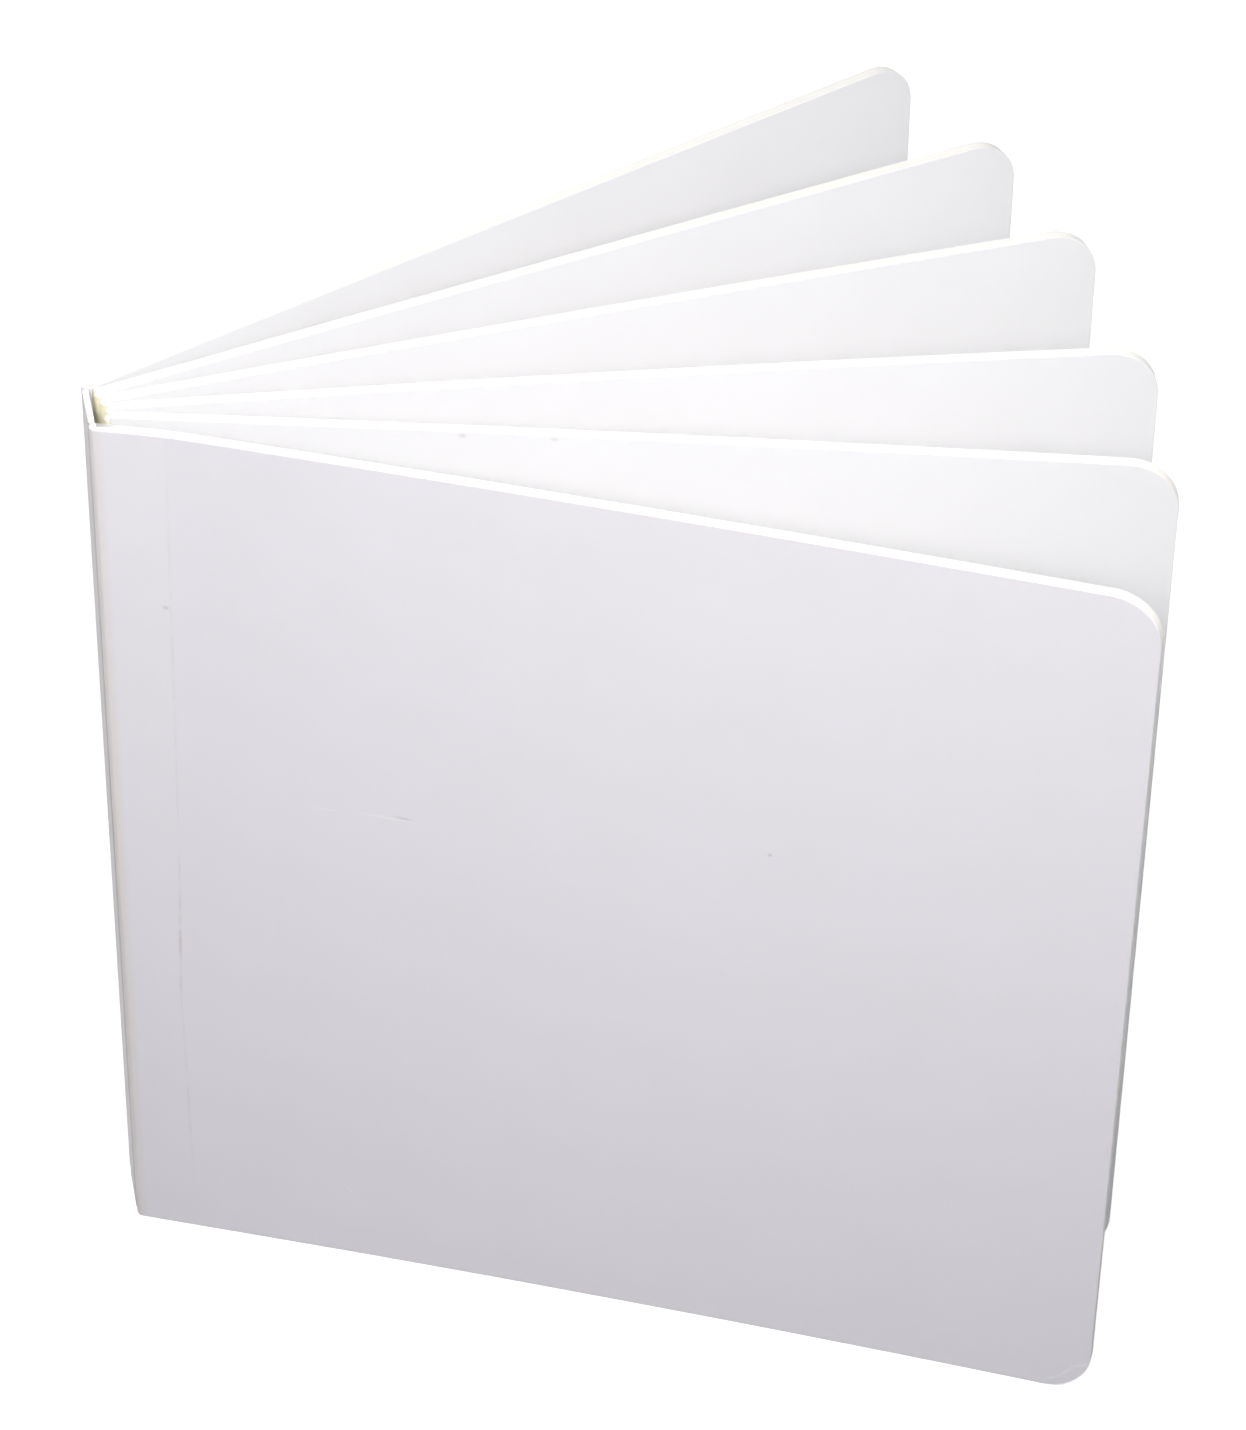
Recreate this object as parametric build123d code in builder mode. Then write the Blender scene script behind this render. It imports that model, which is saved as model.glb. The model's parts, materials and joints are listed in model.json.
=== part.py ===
"""A blank board book with square pages, standing on its lower edge with its boards fanned open.

Four nodes: the front cover, the back cover, the spine strip between them, and the four inner leaves,
which are one piece because neighbouring leaves share the folded sheets that they are glued from.
Lengths are in millimetres, angles in degrees. The row axes: +X along the middle of the fan, from the
spine towards the fore-edge, +Z up. The origin lies on the ground, in the middle of the fan's plan.
"""

from build123d import *
from math import cos, radians, sin
import os

os.makedirs("parts", exist_ok=True)

# Boards
board_height = 152.4
board_reach = 152.4
sheet_thickness = 0.96
corner_radius = 7.5

# Fan: direction of each board from the middle of the fan, and how far its middle bows out of line
leaf_angles = (-14.8, -4.7, 6.9, 16.7)
back_angle = 26.1
leaf_bows = (0.69, 0.87, 0.66, 0.32)
back_bow = 0.18

# The front cover is twisted: bent at its crease at the head, and almost flat there at the foot
head_angle = -26.2
head_crease_bend = 7.0
head_bow = 0.66
head_reach = 152.9
foot_angle = -25.4
foot_crease_bend = 1.2
foot_bow = 0.95
foot_reach = 152.35

# Folds, from the front cover's to the back cover's: how far the bottom of each gutter lies from the
# point where the two faces beside it would meet
fold_roots = (1.3, 1.45, 0.6, 0.35, 0.1)

# Covers: pivot at the rounded end, hinge crease, and running clearance
crease_distance = 10.1
score_width = 1.6
score_depth = 0.12
back_reach = 152.25
front_pivot_offset = 2.25
front_pivot_shift = -0.52
back_pivot_shift = -0.55
running_clearance = 0.2

# Spine strip
spine_edge_radius = 0.3

leaf_thickness = 2 * sheet_thickness
knuckle_radius = leaf_thickness / 2


def along(angle):
    """Unit vector in the plan, turned by the angle from +X."""
    return Vector(cos(radians(angle)), sin(radians(angle)))


def across(angle):
    """Unit vector in the plan, square to a board of that angle, towards the back cover."""
    return along(angle + 90)


def middle(start, end, side, bow):
    """Middle of a face that bows out of the line from start to end."""
    return (start + end) / 2 + side * bow


# Where the faces of neighbouring boards would meet, from the front cover's to the back cover's
fold_points = [Vector(0, 0)]
for angle in leaf_angles:
    fold_points.append(fold_points[-1] + across(angle) * leaf_thickness)

# Pivots of the covers, in the rounded end of each board
front_pivot = (
    fold_points[0]
    - across(leaf_angles[0]) * front_pivot_offset
    + along(leaf_angles[0]) * front_pivot_shift
)
back_pivot = (
    fold_points[-1]
    + across(leaf_angles[-1]) * (knuckle_radius + running_clearance)
    + along(leaf_angles[-1]) * back_pivot_shift
)

# The creases and the far ends of the covers, on the middle of the board
head_crease = front_pivot + along(head_angle + head_crease_bend) * crease_distance
head_end = head_crease + along(head_angle) * (head_reach - crease_distance)
foot_crease = front_pivot + along(foot_angle + foot_crease_bend) * crease_distance
foot_end = foot_crease + along(foot_angle) * (foot_reach - crease_distance)
back_crease = back_pivot + along(back_angle) * crease_distance
back_end = back_pivot + along(back_angle) * back_reach

# Plan box of the whole fan, and the origin at its middle
outline = [
    head_end - across(head_angle) * knuckle_radius,
    head_end + across(head_angle) * knuckle_radius,
    foot_end - across(foot_angle) * knuckle_radius,
    foot_end + across(foot_angle) * knuckle_radius,
    back_end - across(back_angle) * knuckle_radius,
    back_end + across(back_angle) * knuckle_radius,
    front_pivot + Vector(-knuckle_radius, 0),
    back_pivot + Vector(-knuckle_radius, 0),
]
for angle, near, far in zip(leaf_angles, fold_points[:-1], fold_points[1:]):
    outline += [near + along(angle) * board_reach, far + along(angle) * board_reach]
middle_x = (min(point.X for point in outline) + max(point.X for point in outline)) / 2
middle_y = (min(point.Y for point in outline) + max(point.Y for point in outline)) / 2
ground = Plane((-middle_x, -middle_y, 0))
head_level = ground.offset(board_height)


def fore_corners(part, foot, head):
    """The two short edges of a board's fore-edge, at its foot and at its head."""
    points = (ground.from_local_coords(foot), head_level.from_local_coords(head))
    return [part.edges().sort_by_distance(point)[0] for point in points]


# Inner leaves, each two sheets thick, with a step at the root where its two sheets fold at different depths
with BuildPart() as pages:
    for angle, bow, near, far, near_depth, far_depth in zip(
        leaf_angles, leaf_bows, fold_points[:-1], fold_points[1:], fold_roots[:-1], fold_roots[1:]
    ):
        near_root = near + along(angle) * near_depth
        far_root = far + along(angle) * far_depth
        near_end = near + along(angle) * board_reach
        far_end = far + along(angle) * board_reach
        leaf_end = (near_end + far_end) / 2
        with BuildSketch(ground):
            with BuildLine():
                ThreePointArc(near_root, middle(near_root, near_end, across(angle), bow), near_end)
                Line(near_end, far_end)
                ThreePointArc(far_end, middle(far_root, far_end, across(angle), bow), far_root)
                Polyline(
                    far_root,
                    far_root - across(angle) * sheet_thickness,
                    near_root + across(angle) * sheet_thickness,
                    near_root,
                )
            make_face()
        extrude(amount=board_height)
        fillet(fore_corners(pages, leaf_end, leaf_end), corner_radius)

    # Each fold's back is half round, from the middle of one leaf to the middle of the next
    for lower, upper, point, depth in zip(
        leaf_angles[:-1], leaf_angles[1:], fold_points[1:-1], fold_roots[1:-1]
    ):
        bisector = (lower + upper) / 2
        centre = point + along(bisector) * depth
        with BuildSketch(ground):
            with BuildLine():
                ThreePointArc(
                    centre - across(bisector) * sheet_thickness,
                    centre - along(bisector) * sheet_thickness,
                    centre + across(bisector) * sheet_thickness,
                )
                Line(centre + across(bisector) * sheet_thickness, centre - across(bisector) * sheet_thickness)
            make_face()
        extrude(amount=board_height)

    # The folds under the covers reach as far as the closed cover leaves room
    front_room = front_pivot_offset - knuckle_radius - running_clearance
    front_lip = front_room * (1 - fold_roots[0] / crease_distance)
    for angle, point, depth, side, lip in (
        (leaf_angles[0], fold_points[0], fold_roots[0], 1, front_lip),
        (leaf_angles[-1], fold_points[-1], fold_roots[-1], -1, 0),
    ):
        root = point + along(angle) * depth
        inside = root + across(angle) * side * sheet_thickness
        outside = root - across(angle) * side * lip
        radius = (sheet_thickness + lip) / 2
        with BuildSketch(ground):
            with BuildLine():
                ThreePointArc(inside, (inside + outside) / 2 - along(angle) * radius, outside)
                Line(outside, inside)
            make_face()
        extrude(amount=board_height)

# The scored crease on each cover's outer face is a shallow round groove
score_radius = (score_width**2 / 4 + score_depth**2) / (2 * score_depth)

# Front cover: its rounded end is upright, and from there its foot and its head take different paths
root_angle = (head_angle + head_crease_bend + foot_angle + foot_crease_bend) / 2
root_side = across(root_angle) * knuckle_radius
crease_lines = []
with BuildPart() as front_cover:
    for level, crease, end, angle, bend, bow in (
        (ground, foot_crease, foot_end, foot_angle, foot_crease_bend, foot_bow),
        (head_level, head_crease, head_end, head_angle, head_crease_bend, head_bow),
    ):
        side = across(angle)
        mitre = across(angle + bend / 2) * (knuckle_radius / cos(radians(bend / 2)))
        outer_end = end - side * knuckle_radius
        inner_end = end + side * knuckle_radius
        crease_lines.append((level, crease - mitre, mitre.normalized()))
        with BuildSketch(level):
            with BuildLine():
                Line(front_pivot - root_side, crease - mitre)
                ThreePointArc(crease - mitre, middle(crease - mitre, outer_end, side, bow), outer_end)
                Line(outer_end, inner_end)
                ThreePointArc(inner_end, middle(inner_end, crease + mitre, side, bow), crease + mitre)
                Line(crease + mitre, front_pivot + root_side)
                ThreePointArc(
                    front_pivot + root_side,
                    front_pivot - along(root_angle) * knuckle_radius,
                    front_pivot - root_side,
                )
            make_face()
    loft(ruled=True)
    fillet(fore_corners(front_cover, foot_end, head_end), corner_radius)

    for level, place, inward in crease_lines:
        with BuildSketch(level):
            with Locations(place - inward * (score_radius - score_depth)):
                Circle(score_radius)
    loft(ruled=True, mode=Mode.SUBTRACT)

# Back cover: the same board, flat, with the crease on its outer face
back_side = across(back_angle)
with BuildPart() as back_cover:
    with BuildSketch(ground):
        with BuildLine():
            Line(back_pivot + back_side * knuckle_radius, back_crease + back_side * knuckle_radius)
            ThreePointArc(
                back_crease + back_side * knuckle_radius,
                middle(back_crease, back_end, back_side, knuckle_radius + back_bow),
                back_end + back_side * knuckle_radius,
            )
            Line(back_end + back_side * knuckle_radius, back_end - back_side * knuckle_radius)
            ThreePointArc(
                back_end - back_side * knuckle_radius,
                middle(back_crease, back_end, back_side, back_bow - knuckle_radius),
                back_crease - back_side * knuckle_radius,
            )
            Line(back_crease - back_side * knuckle_radius, back_pivot - back_side * knuckle_radius)
            ThreePointArc(
                back_pivot - back_side * knuckle_radius,
                back_pivot - along(back_angle) * knuckle_radius,
                back_pivot + back_side * knuckle_radius,
            )
        make_face()
    extrude(amount=board_height)
    fillet(fore_corners(back_cover, back_end, back_end), corner_radius)
    with BuildSketch(ground):
        with Locations(back_crease + back_side * (knuckle_radius + score_radius - score_depth)):
            Circle(score_radius)
    extrude(amount=board_height, mode=Mode.SUBTRACT)

# Spine strip: one sheet thick, in line with the rounded ends of both covers and clear of them
spine_run = (back_pivot - front_pivot).normalized()
spine_out = Vector(-spine_run.Y, spine_run.X)
strip_start = front_pivot + spine_run * (knuckle_radius + running_clearance)
strip_end = back_pivot - spine_run * (knuckle_radius + running_clearance)
with BuildPart() as spine:
    with BuildSketch(ground):
        with BuildLine():
            Polyline(
                strip_start + spine_out * knuckle_radius,
                strip_end + spine_out * knuckle_radius,
                strip_end + spine_out * (knuckle_radius - sheet_thickness),
                strip_start + spine_out * (knuckle_radius - sheet_thickness),
                close=True,
            )
        make_face()
    extrude(amount=board_height)
    outer_face = spine.faces().filter_by(Axis.Z, reverse=True).sort_by_distance(
        ground.from_local_coords((front_pivot + back_pivot) / 2 + spine_out * board_reach)
    )[0]
    fillet(outer_face.edges().filter_by(Axis.Z), spine_edge_radius)

for name, node in (
    ("pages", pages),
    ("front_cover", front_cover),
    ("back_cover", back_cover),
    ("spine", spine),
):
    node.part.label = name
    export_step(node.part, f"parts/{name}.step")
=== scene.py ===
import json
from math import cos, degrees, pi, radians, sin, sqrt, tan

import bmesh
import bpy
from mathutils import Matrix, Vector


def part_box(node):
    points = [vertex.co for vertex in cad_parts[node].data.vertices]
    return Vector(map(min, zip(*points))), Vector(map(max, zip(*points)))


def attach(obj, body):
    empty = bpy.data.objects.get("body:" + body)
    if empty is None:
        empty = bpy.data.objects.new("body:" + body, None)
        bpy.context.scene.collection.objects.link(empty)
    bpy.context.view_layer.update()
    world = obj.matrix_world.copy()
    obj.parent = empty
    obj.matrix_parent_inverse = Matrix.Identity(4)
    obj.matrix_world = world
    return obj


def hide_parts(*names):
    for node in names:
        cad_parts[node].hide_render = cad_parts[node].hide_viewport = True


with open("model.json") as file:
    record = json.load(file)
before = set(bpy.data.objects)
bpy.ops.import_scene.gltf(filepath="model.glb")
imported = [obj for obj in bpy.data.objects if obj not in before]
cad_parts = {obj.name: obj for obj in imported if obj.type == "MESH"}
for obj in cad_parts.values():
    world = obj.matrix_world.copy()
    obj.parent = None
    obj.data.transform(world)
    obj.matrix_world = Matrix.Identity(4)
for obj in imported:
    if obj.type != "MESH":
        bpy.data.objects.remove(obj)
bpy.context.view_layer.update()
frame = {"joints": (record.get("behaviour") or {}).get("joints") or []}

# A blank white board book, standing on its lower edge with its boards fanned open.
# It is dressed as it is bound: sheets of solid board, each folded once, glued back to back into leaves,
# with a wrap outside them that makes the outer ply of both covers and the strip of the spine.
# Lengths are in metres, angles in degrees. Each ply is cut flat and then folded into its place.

MM = 0.001

# Boards
board_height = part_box("pages")[1].z
board_reach = 152.4 * MM
sheet_thickness = 0.96 * MM
corner_radius = 7.5 * MM
knuckle_radius = sheet_thickness

# Fan: direction of each board from the middle of the fan, and how far its middle bows out of line
leaf_angles = (-14.8, -4.7, 6.9, 16.7)
back_angle = 26.1
leaf_bows = (0.69 * MM, 0.87 * MM, 0.66 * MM, 0.32 * MM)
back_bow = 0.18 * MM
back_reach = 152.25 * MM

# The front cover is twisted: bent at its crease at the head, and almost flat there at the foot
head_angle = -26.2
head_crease_bend = 7.0
head_bow = 0.66 * MM
head_reach = 152.9 * MM
foot_angle = -25.4
foot_crease_bend = 1.2
foot_bow = 0.95 * MM
foot_reach = 152.35 * MM

# Folds, from the front cover's to the back cover's: how far the bottom of each gutter lies from the
# point where the two faces beside it would meet
fold_roots = (1.3 * MM, 1.45 * MM, 0.6 * MM, 0.35 * MM, 0.1 * MM)

# Covers: hinge crease, pivots, and the clearance that they turn with
crease_distance = 10.1 * MM
crease_lean = 1.3 * MM
crease_width = 1.6 * MM
crease_depth = 0.015 * MM
front_pivot_offset = 2.25 * MM
front_pivot_shift = -0.52 * MM
running_clearance = 0.2 * MM

# Edges of the cut board, and the worn lower corners beside the spine
face_rim = 0.1 * MM
glue_rim = 0.035 * MM
spine_edge_radius = 0.3 * MM
bumped_corner = 0.8 * MM
bump_reach = 5 * MM

# Pages are cut a hair short, so that their bow stays inside the solids
page_setback = 0.03 * MM
page_reach = board_reach - page_setback

# Folds: a full sheet's fold, the end of the first half sheet, and the core that a ply turns about
fold_width = 3.2 * MM
fold_half = fold_width / 2
stub_width = 2.8 * MM
stub_thinning = 0.17
fold_core = 0.03 * MM
thinnest_nose = 0.003

# Spacing of the cuts that let a flat ply follow its bow and its folds
long_step = 4.2 * MM
fine_step = 0.28 * MM
height_step = 7.6 * MM
cut_tolerance = 1e-7
rounding_up = 0.999

# Roundings, and the turn between two faces from which an edge counts as sharp
corner_segments = 14
spine_edge_segments = 5
rim_segments = 3
glue_rim_segments = 2
sharp_turn = pi / 4
same_depth = glue_rim / 9
straight_turn = 0.01
edge_facing = 0.3

hinges = {joint["name"]: joint for joint in frame["joints"]}
front_pivot = Vector(hinges["front_cover_hinge"]["pos_m"])
back_pivot = Vector(hinges["back_cover_hinge"]["pos_m"])


def along(angle):
    """Unit vector in the plan, turned by the angle from +X."""
    return Vector((cos(radians(angle)), sin(radians(angle)), 0))


def across(angle):
    """Unit vector in the plan, square to a board of that angle, towards the back cover."""
    return along(angle + 90)


# Where the faces of neighbouring boards would meet, from the front cover's to the back cover's
fold_points = [
    front_pivot + across(leaf_angles[0]) * front_pivot_offset - along(leaf_angles[0]) * front_pivot_shift
]
for leaf_angle in leaf_angles:
    fold_points.append(fold_points[-1] + across(leaf_angle) * 2 * sheet_thickness)


class BowedBoard:
    """Middle of a board in the plan, from a place near its root to its fore-edge, bowed out of line."""

    def __init__(self, root, angle, length, bow):
        self.root = root
        self.angle = angle
        self.length = length
        self.bow = bow

    def normal(self, run):
        """Unit vector square to the board, towards the back cover."""
        slope = 4 * self.bow * (1 - 2 * run / self.length) / self.length
        return (across(self.angle) - along(self.angle) * slope).normalized()

    def place(self, run, offset):
        """Point at a run along the board and an offset from its middle."""
        rise = 4 * self.bow * (run / self.length) * (1 - run / self.length)
        return self.root + along(self.angle) * run + across(self.angle) * rise + self.normal(run) * offset


leaves = []
for number, leaf_angle in enumerate(leaf_angles):
    leaf_root = (fold_points[number] + fold_points[number + 1]) / 2
    leaves.append(BowedBoard(leaf_root, leaf_angle, board_reach, leaf_bows[number]))


def turned(direction, angle):
    """The direction turned in the plan."""
    return Matrix.Rotation(radians(angle), 3, "Z") @ direction


def places_between(start, end, step):
    """Places from start to end, both left out, no further apart than the step."""
    count = max(1, int((end - start) / step + rounding_up))
    return [start + (end - start) * i / count for i in range(1, count)]


def flat_blank(start, end):
    """An uncut ply laid flat: start to end along X, its face at Y = 0 and its back one sheet behind."""
    blank = bmesh.new()
    bmesh.ops.create_cube(blank, size=1)
    bmesh.ops.scale(blank, vec=(end - start, sheet_thickness, board_height), verts=blank.verts)
    middle = Vector(((start + end) / 2, sheet_thickness / 2, board_height / 2))
    bmesh.ops.translate(blank, vec=middle, verts=blank.verts)
    return blank


def round_edges(ply, edges, offset, segments):
    bmesh.ops.bevel(
        ply, geom=edges, offset=offset, offset_type="OFFSET", segments=segments,
        profile=0.5, affect="EDGES", material=-1,
    )


def cut_across(ply, direction, places):
    """Cuts the mesh by planes square to the direction."""
    for place in places:
        everything = ply.verts[:] + ply.edges[:] + ply.faces[:]
        bmesh.ops.bisect_plane(
            ply, geom=everything, plane_co=direction * place, plane_no=direction, dist=cut_tolerance
        )


def flat_ply(start, end, round_corners_at, fine_stretches):
    """A ply laid flat, with round corners, thin rims, and cuts where it will bow and fold."""
    ply = flat_blank(start, end)
    corners = []
    for edge in ply.edges:
        first, second = (vert.co for vert in edge.verts)
        through = abs(first.y - second.y) > sheet_thickness / 2
        if through and any(abs(first.x - x) < MM for x in round_corners_at):
            corners.append(edge)
    round_edges(ply, corners, corner_radius, corner_segments)
    rims = ((0, face_rim, rim_segments), (sheet_thickness, glue_rim, glue_rim_segments))
    for depth, rim, segments in rims:
        rim_edges = [
            edge for edge in ply.edges
            if all(abs(vert.co.y - depth) < same_depth for vert in edge.verts)
            and edge.calc_face_angle() > sharp_turn
        ]
        round_edges(ply, rim_edges, rim, segments)
    places = []
    here = start
    for fine_start, fine_end in sorted(fine_stretches):
        places += places_between(here, fine_start, long_step) + [fine_start]
        places += places_between(fine_start, fine_end, fine_step) + [fine_end]
        here = fine_end
    places += places_between(here, end, long_step)
    inside = [place for place in places if start + glue_rim < place < end - glue_rim]
    cut_across(ply, Vector((1, 0, 0)), inside)
    cut_across(ply, Vector((0, 0, 1)), places_between(0, board_height, height_step))
    return ply


def fold_ply(ply, place, shift, face_material=0):
    """Moves a flat ply to where the sheet's path takes it, and keeps where each point was when flat.

    Materials by slot: its face as given, 1 for the cut edge, 2 for the glued back.
    """
    flat = ply.verts.layers.float_vector.new("flat")
    for face in ply.faces:
        if abs(face.normal.y) < edge_facing:
            face.material_index = 1
        else:
            face.material_index = face_material if face.normal.y < 0 else 2
        face.smooth = True
    for vert in ply.verts:
        vert[flat] = vert.co + Vector((shift, 0, 0))
        spot = place(vert.co.x, vert.co.y, vert.co.z)
        vert.co = Vector((spot.x, spot.y, vert.co.z + spot.z))


def put_in_scene(name, data):
    thing = bpy.data.objects.new(name, data)
    bpy.context.scene.collection.objects.link(thing)
    return thing


def join_plies(name, plies, materials, body):
    """One object from folded plies, riding on its body and standing for its solid."""
    mesh = bpy.data.meshes.new(name)
    whole = bmesh.new()
    for ply in plies:
        bmesh.ops.recalc_face_normals(ply, faces=ply.faces)
        part = bpy.data.meshes.new(name + "_ply")
        ply.to_mesh(part)
        whole.from_mesh(part)
        ply.free()
        bpy.data.meshes.remove(part)
    whole.to_mesh(mesh)
    whole.free()
    for material in materials:
        mesh.materials.append(material)
    piece = put_in_scene(name, mesh)
    weighted = piece.modifiers.new("face normals", "WEIGHTED_NORMAL")
    weighted.weight = 100
    weighted.keep_sharp = True
    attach(piece, body)
    return piece


def folded_sheet(number, root):
    """Path of the sheet that makes the far ply of one leaf and the near ply of the next.

    Its fold turns about the bottom of the gutter between the two.
    """
    lower = leaves[number]
    upper = leaves[number + 1]
    lower_face = lower.place(root, sheet_thickness)
    upper_face = upper.place(root, -sheet_thickness)
    lower_back = -lower.normal(root)
    upper_back = upper.normal(root)
    gutter_radius = (lower_face - upper_face).length / (lower_back - upper_back).length
    centre = (lower_face - lower_back * gutter_radius + upper_face - upper_back * gutter_radius) / 2
    sweep = degrees(lower_back.angle(upper_back))

    def place(run, depth, height):
        if run < -fold_half:
            return lower.place(root - run - fold_half, sheet_thickness - depth)
        if run > fold_half:
            return upper.place(root + run - fold_half, depth - sheet_thickness)
        part_turned = (run + fold_half) / fold_width
        outward = turned(lower_back, -sweep * part_turned)
        start_slip = lower_face - lower_back * gutter_radius - centre
        end_slip = upper_face - upper_back * gutter_radius - centre
        slip = start_slip * (1 - part_turned) + end_slip * part_turned
        return centre + slip + outward * (gutter_radius + depth)

    return place


def make_sheet(number, shift):
    """The whole folded sheet between two leaves."""
    root = fold_roots[number + 1]
    reach = fold_half + page_reach - root
    ply = flat_ply(-reach, reach, (-reach, reach), [(-fold_half, fold_half)])
    fold_ply(ply, folded_sheet(number, root), shift)
    return ply


def make_first_half_sheet(shift):
    """The first leaf's near ply, and the fold that starts from it towards the cover."""
    leaf = leaves[0]
    root = fold_roots[0]
    reach = page_reach - root
    centre = leaf.place(root, -sheet_thickness) - leaf.normal(root) * fold_core

    def place(run, depth, height):
        if run > 0:
            return leaf.place(root + run, depth - sheet_thickness)
        part_turned = -run / stub_width
        outward = turned(leaf.normal(root), 180 * part_turned)
        return centre + outward * (fold_core + depth * (1 - stub_thinning * part_turned))

    ply = flat_ply(-stub_width, reach, (reach,), [(-stub_width, 0)])
    fold_ply(ply, place, shift)
    return ply


def make_last_half_sheet(shift):
    """The last leaf's far ply, with a rounded nose at the spine side."""
    leaf = leaves[-1]
    root = fold_roots[-1]
    reach = page_reach - root
    nose = sheet_thickness / 2

    def place(run, depth, height):
        offset = sheet_thickness - depth
        if run < 0:
            narrow = sqrt(max(1 - (run / nose) ** 2, thinnest_nose))
            offset = nose + (offset - nose) * narrow
        return leaf.place(root + run, offset)

    ply = flat_ply(-nose, reach, (reach,), [(-nose, 0)])
    fold_ply(ply, place, shift)
    return ply


class CoverPath:
    """Path of a cover at one height: from its pivot to the hinge crease, and on to the fore-edge."""

    bend_half = 3 * MM

    def __init__(self, pivot, angle, bend, bow, reach):
        self.pivot = pivot
        self.reach = reach
        self.root_angle = angle + bend
        crease = pivot + along(self.root_angle) * crease_distance
        self.lie = BowedBoard(crease, angle, reach - crease_distance, bow)
        self.turn = -degrees(across(self.root_angle).xy.angle_signed(self.lie.normal(0).xy))

    def place(self, run, offset):
        """Point at a run from the pivot and an offset from the board's middle, towards the back cover."""
        bend_start = crease_distance - self.bend_half
        if run >= crease_distance + self.bend_half:
            return self.lie.place(run - crease_distance, offset)
        normal = across(self.root_angle)
        if run <= bend_start or abs(self.turn) < straight_turn:
            return self.pivot + along(self.root_angle) * run + normal * offset
        part_turned = (run - bend_start) / (2 * self.bend_half)
        radius = self.bend_half / tan(radians(self.turn) / 2)
        start = self.pivot + along(self.root_angle) * bend_start
        now = turned(normal, self.turn * part_turned)
        return start + normal * radius - now * radius + now * offset


class CoverBoard:
    """A cover: its path at the foot and at the head, and the side that its outer face looks to."""

    def __init__(self, foot, head, outer_side):
        self.foot = foot
        self.head = head
        self.outer_side = outer_side

    def place(self, run, offset, height):
        """Point at a run, an offset and a height, on the straight line between foot and head."""
        part = height / board_height
        foot_run = run * self.foot.reach / self.head.reach
        return self.foot.place(foot_run, offset) * (1 - part) + self.head.place(run, offset) * part

    def root_side(self, height):
        """Unit vector square to the board at its root, towards the outer face."""
        part = height / board_height
        return across(self.foot.root_angle * (1 - part) + self.head.root_angle * part) * self.outer_side


def bumped(from_edge, height):
    """How far a point near the foot is pressed up at a worn corner, by its distance from the spine edge."""
    inside = min(max(1 - from_edge / bumped_corner, 0), 1)
    return Vector((0, 0, bumped_corner * (1 - sqrt(1 - inside ** 2)) * max(1 - height / bump_reach, 0)))


def make_cover_plies(cover, reach, outer_shift, inner_shift):
    """The outer ply, which turns round the rounded end, and the inner ply, which butts against it."""
    wrap = knuckle_radius * pi

    def outer_place(run, depth, height):
        if run < 0:
            outward = turned(cover.root_side(height), 180 * cover.outer_side * -run / wrap)
            shell = fold_core + (knuckle_radius - fold_core) * (1 - depth / sheet_thickness)
            from_edge = knuckle_radius * (1 - sin(pi * -run / wrap))
            return cover.foot.pivot + outward * shell + bumped(from_edge, height)
        crease = crease_distance - crease_lean * (1 - height / board_height)
        groove = max(1 - ((run - crease) / (crease_width / 2)) ** 2, 0) ** 2
        sunk = crease_depth * groove * (1 - depth / sheet_thickness)
        return cover.place(run, cover.outer_side * (sheet_thickness - depth - sunk), height)

    def inner_place(run, depth, height):
        return cover.place(run, -cover.outer_side * (sheet_thickness - depth), height)

    crease_stretch = (crease_distance - crease_lean - crease_width / 2, crease_distance + crease_width / 2)
    outer = flat_ply(-wrap, reach, (reach,), [(-wrap, 0), crease_stretch])
    fold_ply(outer, outer_place, outer_shift)
    inner = flat_ply(0, reach, (reach,), [crease_stretch])
    fold_ply(inner, inner_place, inner_shift, face_material=3)
    return [outer, inner]


def make_spine_strip(shift):
    """The strip of the wrap between the two covers."""
    run = (back_pivot - front_pivot).normalized()
    outward = Vector((-run.y, run.x, 0))
    setback = knuckle_radius + running_clearance
    start = setback
    end = (back_pivot - front_pivot).length - setback
    strip = flat_blank(start, end)
    outer_edges = [
        edge for edge in strip.edges
        if all(vert.co.y < sheet_thickness / 2 for vert in edge.verts)
        and abs(edge.verts[0].co.z - edge.verts[1].co.z) > board_height / 2
    ]
    round_edges(strip, outer_edges, spine_edge_radius, spine_edge_segments)
    sharp = [edge for edge in strip.edges if edge.calc_face_angle() > sharp_turn]
    round_edges(strip, sharp, glue_rim * 2, glue_rim_segments)
    cut_across(strip, Vector((0, 0, 1)), places_between(0, board_height, height_step))

    def place(along_strip, depth, height):
        return front_pivot + run * along_strip + outward * (knuckle_radius - depth)

    fold_ply(strip, place, shift)
    return strip


def linear(hex_colour):
    """Linear RGBA of an sRGB hex colour."""
    channels = [int(hex_colour[i:i + 2], 16) / 255 for i in (1, 3, 5)]
    return tuple(c / 12.92 if c <= 0.04045 else ((c + 0.055) / 1.055) ** 2.4 for c in channels) + (1,)


def add(tree, kind, settings, **inputs):
    """Adds a node with its settings; each input is a value or a socket to link, by its index or name."""
    made = tree.nodes.new(kind)
    for name, value in settings.items():
        setattr(made, name, value)
    for name, value in inputs.items():
        socket = made.inputs[int(name[1:])] if name[0] == "i" and name[1:].isdigit() else made.inputs[name]
        if isinstance(value, bpy.types.NodeSocket):
            tree.links.new(value, socket)
        else:
            socket.default_value = value
    return made


# Patterns of the board: how large their features are, and how far they stand out
cloud_size = 16 * MM
fibre_size = 1.1 * MM
fibre_relief = 0.006 * MM
swell_size = 22 * MM
swell_relief = 0.12 * MM
break_size = 4 * MM
cut_fibre_length = 3 * MM
cut_fibre_thickness = 0.1 * MM
cut_fibre_relief = 0.02 * MM


def new_material(name):
    material = bpy.data.materials.new(name)
    material.use_nodes = True
    material.node_tree.nodes.clear()
    return material, material.node_tree


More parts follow.
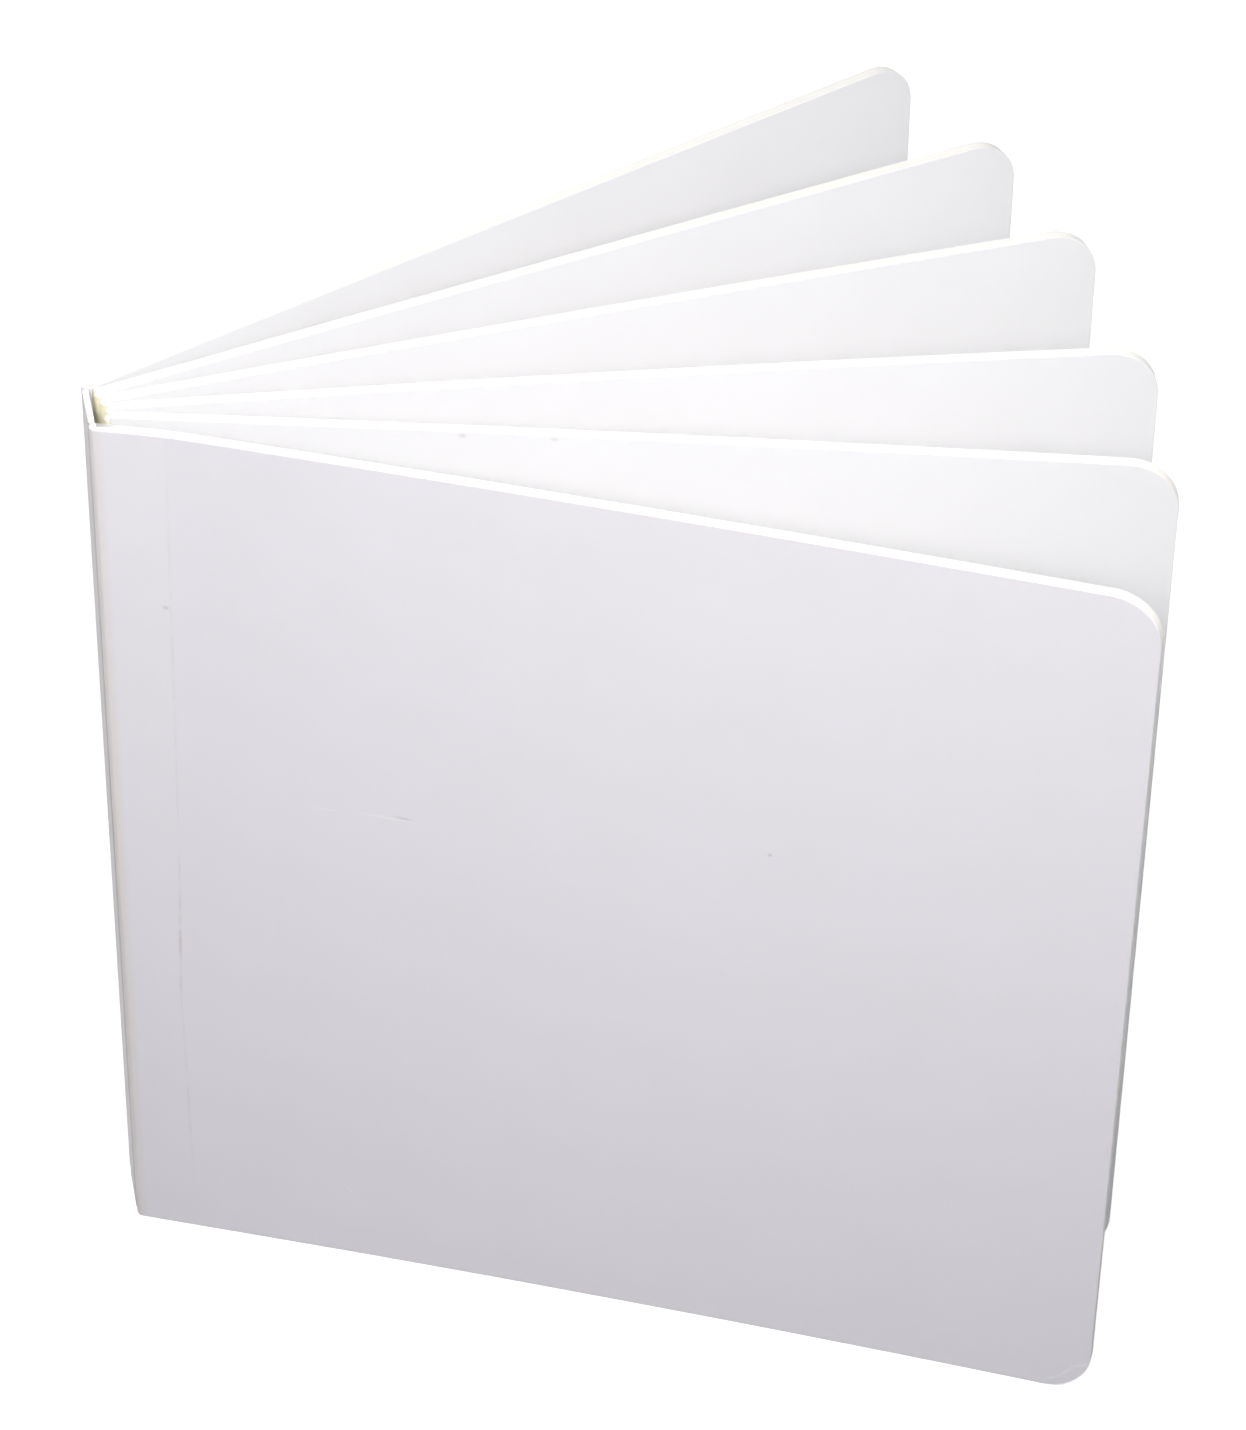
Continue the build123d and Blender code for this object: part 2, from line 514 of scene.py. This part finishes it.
def mark_falloff(tree, flat, place, half_size, turn):
    """1 in the middle of a long thin mark on the flat ply, falling to 0 at its rim."""
    local = add(
        tree, "ShaderNodeMapping", {"vector_type": "TEXTURE"}, Vector=flat,
        Location=(place[0] * MM, 0, place[1] * MM), Rotation=(0, -radians(turn), 0),
        Scale=(half_size[0] * MM, 1, half_size[1] * MM),
    )
    rings = add(
        tree, "ShaderNodeTexGradient", {"gradient_type": "SPHERICAL"}, Vector=local.outputs["Vector"]
    )
    return rings.outputs["Fac"]


def coated_board(name, colour, shade, marks=()):
    """Clay-coated white solid board, calendered: smooth, satin, with a faint cloudiness in the coating.

    Its marks are tints on the flat ply, some with a little relief: specks, a nick, a warm tint, painted shade
    along creases and edges and at a scratch's end, and painted highlights where a scratch and short creases
    catch the light.
    """
    material, tree = new_material(name)
    flat = add(tree, "ShaderNodeAttribute", {"attribute_name": "flat"}).outputs["Vector"]
    cloud = add(tree, "ShaderNodeTexNoise", {}, Vector=flat, Scale=1 / cloud_size, Detail=3.0, Roughness=0.55)
    colours = add(
        tree, "ShaderNodeMix", {"data_type": "RGBA"},
        i0=cloud.outputs["Fac"], i6=linear(shade), i7=linear(colour),
    )
    fibre = add(tree, "ShaderNodeTexNoise", {}, Vector=flat, Scale=1 / fibre_size, Detail=4.0, Roughness=0.6)
    bump = add(tree, "ShaderNodeBump", {}, Strength=0.35, Distance=fibre_relief, Height=fibre.outputs["Fac"])
    wave = add(tree, "ShaderNodeTexNoise", {}, Vector=flat, Scale=1 / swell_size, Detail=2.0, Roughness=0.5)
    swell = add(
        tree, "ShaderNodeBump", {}, Strength=0.5, Distance=swell_relief,
        Height=wave.outputs["Fac"], Normal=bump.outputs["Normal"],
    )
    break_noise = add(tree, "ShaderNodeTexNoise", {}, Vector=flat, Scale=1 / break_size, Detail=2.0, Roughness=0.6)
    patches = add(
        tree, "ShaderNodeMapRange", {}, Value=break_noise.outputs["Fac"],
        **{"From Min": 0.4, "From Max": 0.6, "To Min": 0.3, "To Max": 1.3},
    )
    colour_now = colours.outputs[2]
    normal_now = swell.outputs["Normal"]
    for place, half_size, turn, tint, strength, broken_up, relief in marks:
        falloff = mark_falloff(tree, flat, place, half_size, turn)
        share = add(tree, "ShaderNodeMath", {"operation": "MULTIPLY"}, i0=falloff, i1=strength)
        if broken_up:
            left = patches.outputs["Result"]
            share = add(tree, "ShaderNodeMath", {"operation": "MULTIPLY"}, i0=share.outputs[0], i1=left)
        tinted = add(
            tree, "ShaderNodeMix", {"data_type": "RGBA"},
            i0=share.outputs[0], i6=colour_now, i7=linear(tint),
        )
        colour_now = tinted.outputs[2]
        if relief:
            raised = add(
                tree, "ShaderNodeBump", {}, Strength=1.0, Distance=relief * MM,
                Height=falloff, Normal=normal_now,
            )
            normal_now = raised.outputs["Normal"]
    finish = add(
        tree, "ShaderNodeBsdfPrincipled", {}, Roughness=0.46, IOR=1.5, Normal=normal_now,
        **{"Base Color": colour_now},
    )
    add(tree, "ShaderNodeOutputMaterial", {}, Surface=finish.outputs["BSDF"])
    return material


def cut_board(name, colour, shade):
    """Die-cut edge of solid bleached board: matt, slightly warmer, with fibres lying along the sheet."""
    material, tree = new_material(name)
    flat = add(tree, "ShaderNodeAttribute", {"attribute_name": "flat"}).outputs["Vector"]
    layers = add(
        tree, "ShaderNodeMapping", {}, Vector=flat,
        Scale=(1 / cut_fibre_length, 1 / cut_fibre_thickness, 1 / cut_fibre_length),
    )
    fibre = add(tree, "ShaderNodeTexNoise", {}, Vector=layers.outputs["Vector"], Scale=1.0, Detail=3.0)
    colours = add(
        tree, "ShaderNodeMix", {"data_type": "RGBA"},
        i0=fibre.outputs["Fac"], i6=linear(shade), i7=linear(colour),
    )
    bump = add(
        tree, "ShaderNodeBump", {}, Strength=0.4, Distance=cut_fibre_relief, Height=fibre.outputs["Fac"]
    )
    finish = add(
        tree, "ShaderNodeBsdfPrincipled", {}, Roughness=0.85, IOR=1.45, Normal=bump.outputs["Normal"],
        **{"Base Color": colours.outputs[2]},
    )
    add(tree, "ShaderNodeOutputMaterial", {}, Surface=finish.outputs["BSDF"])
    return material


# The flat sheets lie in one long row, the leaves' from its start, so that each shows its own stretch of
# board. Only the front cover's outer ply shares one, with the first leaf, which is of another board
sheet_pitch = 0.4
front_outer_shift = 0
front_inner_shift = 5 * sheet_pitch
back_outer_shift = 6 * sheet_pitch
back_inner_shift = 7 * sheet_pitch
strip_shift = 8 * sheet_pitch
strip_shade_run = strip_shift / MM + 1.3

# Marks: run and height of the middle, half length and half width, turn from level, colour, strength,
# whether it is broken up in places, and how far it stands out, in mm and degrees
# Cover: a warm cream tint on the rounded spine edge, painted shade along the hinge crease, a speck,
# a scratch painted white as a highlight with painted shade at its end, a speck, a nick, and a crease of
# three short lines across the lower corner, painted white as highlights
cover_marks = (
    # A warm cream tint on the rounded spine edge
    ((-0.2, 76), (180, 1.5), 90, "#E8D9BC", 0.35, False, 0),
    # Painted shade along the hinge crease, in three pieces that follow its line
    ((9.75, 112), (50, 0.32), 89.3, "#B8A48C", 0.10, True, 0),
    ((8.85, 61), (17, 0.36), 88.3, "#A4805F", 0.24, True, 0),
    ((8.80, 29), (30, 0.32), 90.8, "#B8A48C", 0.11, True, 0),
    ((9.11, 122.3), (0.6, 0.45), 0, "#8E8276", 0.30, False, 0),
    # A scratch: painted white as a highlight where it catches the light, over a little relief, with painted
    # shade at its right end
    ((33.8, 89.7), (5.5, 0.28), 3, "#FFFFFF", 0.40, True, 0.004),
    ((41.8, 89.9), (5.2, 0.30), -1, "#FFFFFF", 1.00, False, 0.012),
    ((44.3, 90.35), (2.0, 0.25), -3, "#8D8397", 0.30, False, 0),
    ((99.5, 95.6), (0.45, 0.40), 0, "#8A8088", 0.35, False, 0),
    ((34.7, 13.4), (1.8, 0.28), -48, "#FFFFFF", 0.40, False, 0),
    # A crease of three short lines across the lower corner: raised, and painted white as highlights where
    # they catch the light
    ((147.2, 1.7), (2.2, 0.42), 33, "#FFFFFF", 1.00, False, 0.03),
    ((149.4, 3.8), (2.6, 0.42), 53, "#FFFFFF", 1.00, False, 0.03),
    ((151.5, 5.6), (2.0, 0.42), 25, "#FFFFFF", 1.00, False, 0.03),
)
# Pages: two specks on the rim of the first leaf
page_marks = (
    ((49.8, 151.8), (0.8, 0.5), 0, "#A89E96", 0.30, False, 0),
    ((62.8, 151.8), (0.8, 0.5), 0, "#A89E96", 0.22, False, 0),
)
# Strip: painted shade along its front edge, beside the front cover
strip_shade_marks = (
    ((strip_shade_run, 76), (180, 2.6), 90, "#9C9277", 0.50, False, 0),
)

cover_face = coated_board("coated board, cover", "#F8F5F9", "#F4F0F4", cover_marks)
page_face = coated_board("coated board, pages", "#F2F1F1", "#EEEDED", page_marks)
# The spine strip is the covers' wrap board painted a little darker and warmer: painted shade on its face
shaded_strip_face = coated_board("coated board, spine, painted shade", "#ECE6E1", "#E7E0DA", strip_shade_marks)
board_edge = cut_board("cut board edge", "#F5F3EE", "#EFECE4")
# The glued backs show only as the cream hollow behind the spine strip
board_back = cut_board("uncoated board back", "#F9F6E2", "#F5F1D8")

front = CoverBoard(
    CoverPath(front_pivot, foot_angle, foot_crease_bend, foot_bow, foot_reach),
    CoverPath(front_pivot, head_angle, head_crease_bend, head_bow, head_reach),
    -1,
)
back_path = CoverPath(back_pivot, back_angle, 0, back_bow, back_reach)
back = CoverBoard(back_path, back_path, 1)

page_plies = [make_first_half_sheet(0)]
for sheet_number in range(len(leaves) - 1):
    page_plies.append(make_sheet(sheet_number, (sheet_number + 1) * sheet_pitch))
page_plies.append(make_last_half_sheet(len(leaves) * sheet_pitch))
pages = join_plies(
    "page_block", page_plies, [page_face, board_edge, board_back], "book_block"
)
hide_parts("pages")

front_plies = make_cover_plies(front, head_reach, front_outer_shift, front_inner_shift)
cover_materials = [cover_face, board_edge, board_back, page_face]
front_cover = join_plies("front_cover_board", front_plies, cover_materials, "front_board")
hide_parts("front_cover")

back_plies = make_cover_plies(back, back_reach, back_outer_shift, back_inner_shift)
back_cover = join_plies("back_cover_board", back_plies, cover_materials, "back_board")
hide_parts("back_cover")

spine_strip = join_plies(
    "spine_strip", [make_spine_strip(strip_shift)], [shaded_strip_face, board_edge, board_back],
    "book_block"
)
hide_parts("spine")


# Studio: pale floor, soft lamps at the left, at the right, beside the camera, high at the left and low
# behind the book, and weak light all round. The floor throws little light back on the book
floor_half = 3
floor_colour = "#F2F2F2"
floor_bounce = "#1E1E1E"
floor_lift = 0.46
world_strength = 0.34
world_colour = "#EAEFFF"


def seen_directly(tree):
    """1 where a ray comes from the camera, a mirror or through glass, 0 where it only carries light."""
    path = add(tree, "ShaderNodeLightPath", {})
    mirrored = add(
        tree, "ShaderNodeMath", {"operation": "MAXIMUM"},
        i0=path.outputs["Is Camera Ray"], i1=path.outputs["Is Glossy Ray"],
    )
    seen = add(
        tree, "ShaderNodeMath", {"operation": "MAXIMUM"},
        i0=mirrored.outputs[0], i1=path.outputs["Is Transmission Ray"],
    )
    return seen.outputs[0]


def make_floor():
    """A floor that looks near white and still takes the book's shadow."""
    mesh = bpy.data.meshes.new("floor")
    ground = bmesh.new()
    bmesh.ops.create_grid(ground, x_segments=2, y_segments=2, size=floor_half)
    ground.to_mesh(mesh)
    ground.free()
    floor = put_in_scene("floor", mesh)
    material, tree = new_material("pale studio floor")
    seen = seen_directly(tree)
    colour = add(
        tree, "ShaderNodeMix", {"data_type": "RGBA"},
        i0=seen, i6=linear(floor_bounce), i7=linear(floor_colour),
    )
    paint = add(tree, "ShaderNodeBsdfDiffuse", {}, Color=colour.outputs[2])
    lift = add(tree, "ShaderNodeMath", {"operation": "MULTIPLY"}, i0=seen, i1=floor_lift)
    glow = add(tree, "ShaderNodeEmission", {}, Color=(1, 1, 1, 1), Strength=lift.outputs[0])
    both = add(tree, "ShaderNodeAddShader", {}, i0=paint.outputs[0], i1=glow.outputs[0])
    add(tree, "ShaderNodeOutputMaterial", {}, Surface=both.outputs[0])
    mesh.materials.append(material)


def make_world():
    """Even weak daylight on the book, which looks white behind it."""
    world = bpy.data.worlds.new("studio")
    world.use_nodes = True
    tree = world.node_tree
    tree.nodes.clear()
    seen = seen_directly(tree)
    strength = add(
        tree, "ShaderNodeMapRange", {}, Value=seen, **{"To Min": world_strength, "To Max": 1.0}
    )
    sky = add(tree, "ShaderNodeBackground", {}, Color=linear(world_colour), Strength=strength.outputs[0])
    add(tree, "ShaderNodeOutputWorld", {}, Surface=sky.outputs[0])
    bpy.context.scene.world = world


def make_lamp(name, place, target, size, power, colour, beam=180):
    """Round soft lamp at its place, facing its target.

    Its size is a diameter in metres, its power is in watts, and its beam in degrees.
    """
    data = bpy.data.lights.new(name, "AREA")
    data.shape = "DISK"
    data.size = size
    data.energy = power
    data.color = linear(colour)[:3]
    data.spread = radians(beam)
    lamp = put_in_scene(name, data)
    towards = Vector(target) - Vector(place)
    lamp.location = place
    lamp.rotation_euler = towards.to_track_quat("-Z", "Y").to_euler()


def make_camera(place, heading, dip, roll, lens):
    """Camera by its place, heading from +Y towards +X, dip below the level, roll, and lens in mm."""
    level_right = Vector((cos(radians(heading)), -sin(radians(heading)), 0))
    level_ahead = Vector((sin(radians(heading)), cos(radians(heading)), 0))
    forward = level_ahead * cos(radians(dip)) - Vector((0, 0, sin(radians(dip))))
    level_up = level_right.cross(forward)
    right = level_right * cos(radians(roll)) + level_up * sin(radians(roll))
    up = level_up * cos(radians(roll)) - level_right * sin(radians(roll))
    data = bpy.data.cameras.new("camera")
    data.sensor_width = 36
    data.sensor_fit = "AUTO"
    data.lens = lens
    camera = put_in_scene("camera", data)
    axes = Matrix((right, up, -forward)).transposed().to_4x4()
    camera.matrix_world = Matrix.Translation(place) @ axes
    bpy.context.scene.camera = camera


make_floor()
make_world()
camera_place = fold_points[0] + Vector((-50.523, -606.518, 577.661)) * MM
make_camera(camera_place, heading=11.775, dip=38.310, roll=0.930, lens=131.505)
make_lamp("left", (-0.21, -0.34, 0.51), (0, 0, 0.07), 0.25, 1.32, "#FFFDFC")
make_lamp("right", (0.30, -0.30, 0.54), (0, 0, 0.07), 0.25, 1.52, "#FFFDFA")
# A narrow beam on the boards' tops, as the photo's light falls off towards the foot
lamp_aim = (0.015, -0.02, 0.125)
make_lamp("beside camera", (-0.126, -0.610, 0.640), lamp_aim, 0.30, 0.133, "#FFFFFF", beam=36)
make_lamp("high left", (-0.28, 0.05, 0.50), (0, 0, 0.07), 0.25, 0.32, "#FFFFFF")
make_lamp("behind", (-0.12, 0.62, 0.11), (0, 0, 0.08), 0.20, 1.7, "#FFFFFF")
bpy.context.scene.view_settings.view_transform = "Standard"
